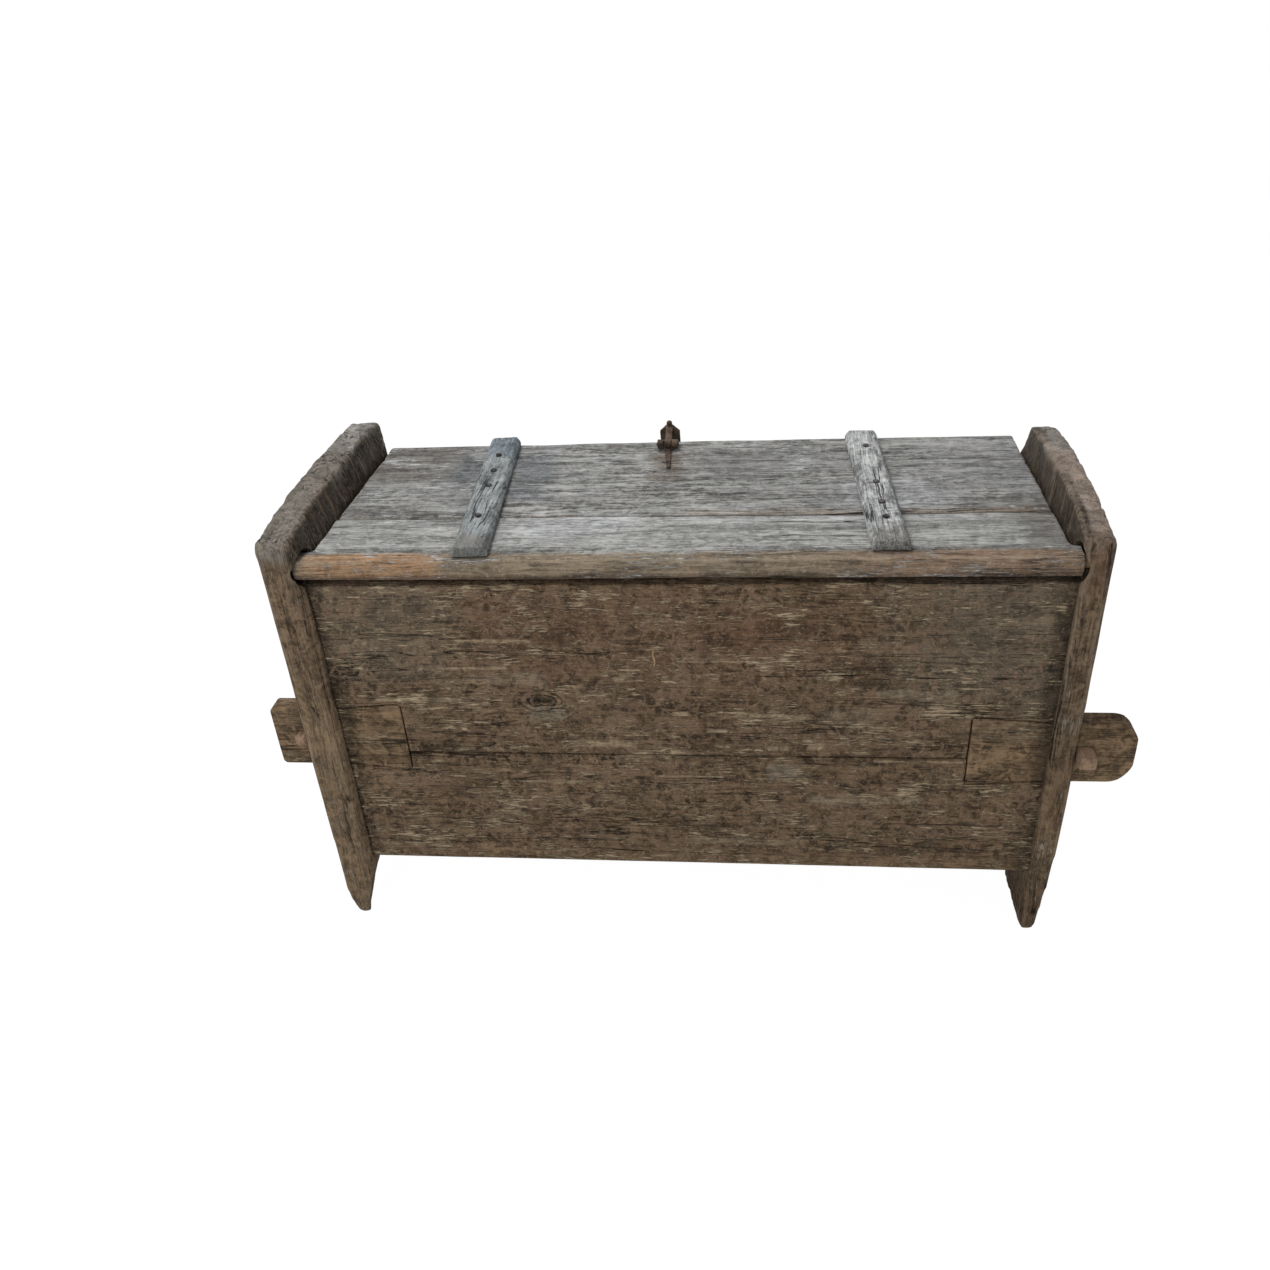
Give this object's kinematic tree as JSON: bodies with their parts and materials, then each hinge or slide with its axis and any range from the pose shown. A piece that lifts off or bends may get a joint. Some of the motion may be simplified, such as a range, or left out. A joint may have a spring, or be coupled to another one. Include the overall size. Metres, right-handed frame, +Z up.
{
  "type": "pegged plank storage chest",
  "caption": "Antique plank storage chest on board feet, held together by pegged tenon blocks, with a lid that turns on wooden pivot pins and an iron hasp.",
  "frame": {"origin": "On the floor under the four feet, midway between the furthest points of the closed chest along X and along Y.", "axes": "+X runs along the chest, to the right seen from the hinge side. +Y points from the hinge side to the latch side. +Z is up, out of the lid."},
  "size_m": [1.214, 0.4626, 0.6901],
  "materials": {
    "wood_end_boards": "weathered",
    "wood_walls": "weathered",
    "wood_blocks": "weathered",
    "wood_pegs": "weathered",
    "wood_floor": "rough sawn",
    "wood_lid": "weathered",
    "wood_battens": "weathered",
    "wrought_iron": "rusted"
  },
  "bodies": {
    "case": {"left_end_board": "wood_end_boards", "right_end_board": "wood_end_boards", "hinge_wall_upper_board": "wood_walls", "hinge_wall_lower_board": "wood_walls", "latch_wall_upper_board": "wood_walls", "latch_wall_lower_board": "wood_walls", "hinge_left_tenon_block": "wood_blocks", "hinge_right_tenon_block": "wood_blocks", "latch_left_tenon_block": "wood_blocks", "latch_right_tenon_block": "wood_blocks", "hinge_left_peg": "wood_pegs", "hinge_right_peg": "wood_pegs", "latch_left_peg": "wood_pegs", "latch_right_peg": "wood_pegs", "floor_board_hinge_side": "wood_floor", "floor_board_middle": "wood_floor", "floor_board_latch_side": "wood_floor", "floor_nails": "wrought_iron", "wall_staple": "wrought_iron"},
    "lid": {"lid_hinge_board": "wood_lid", "lid_latch_board": "wood_lid", "left_lid_batten": "wood_battens", "right_lid_batten": "wood_battens", "left_batten_nails": "wrought_iron", "right_batten_nails": "wrought_iron", "left_pivot_pin": "wood_pegs", "right_pivot_pin": "wood_pegs", "hasp_strap": "wrought_iron", "strap_nails": "wrought_iron", "hasp_pin": "wrought_iron"},
    "hasp": {"hasp": "wrought_iron"}
  },
  "joints": [
    {"name": "lid_hinge", "type": "hinge", "parent": "case", "child": "lid", "pos_m": [-0.012, -0.19334, 0.625], "axis": [1, 0, 0], "range_deg": [0, 130]},
    {"name": "hasp_pivot", "type": "hinge", "parent": "lid", "child": "hasp", "pos_m": [-0.041, 0.15666, 0.651], "axis": [1, 0, 0], "range_deg": [-20, 155]}
  ]
}
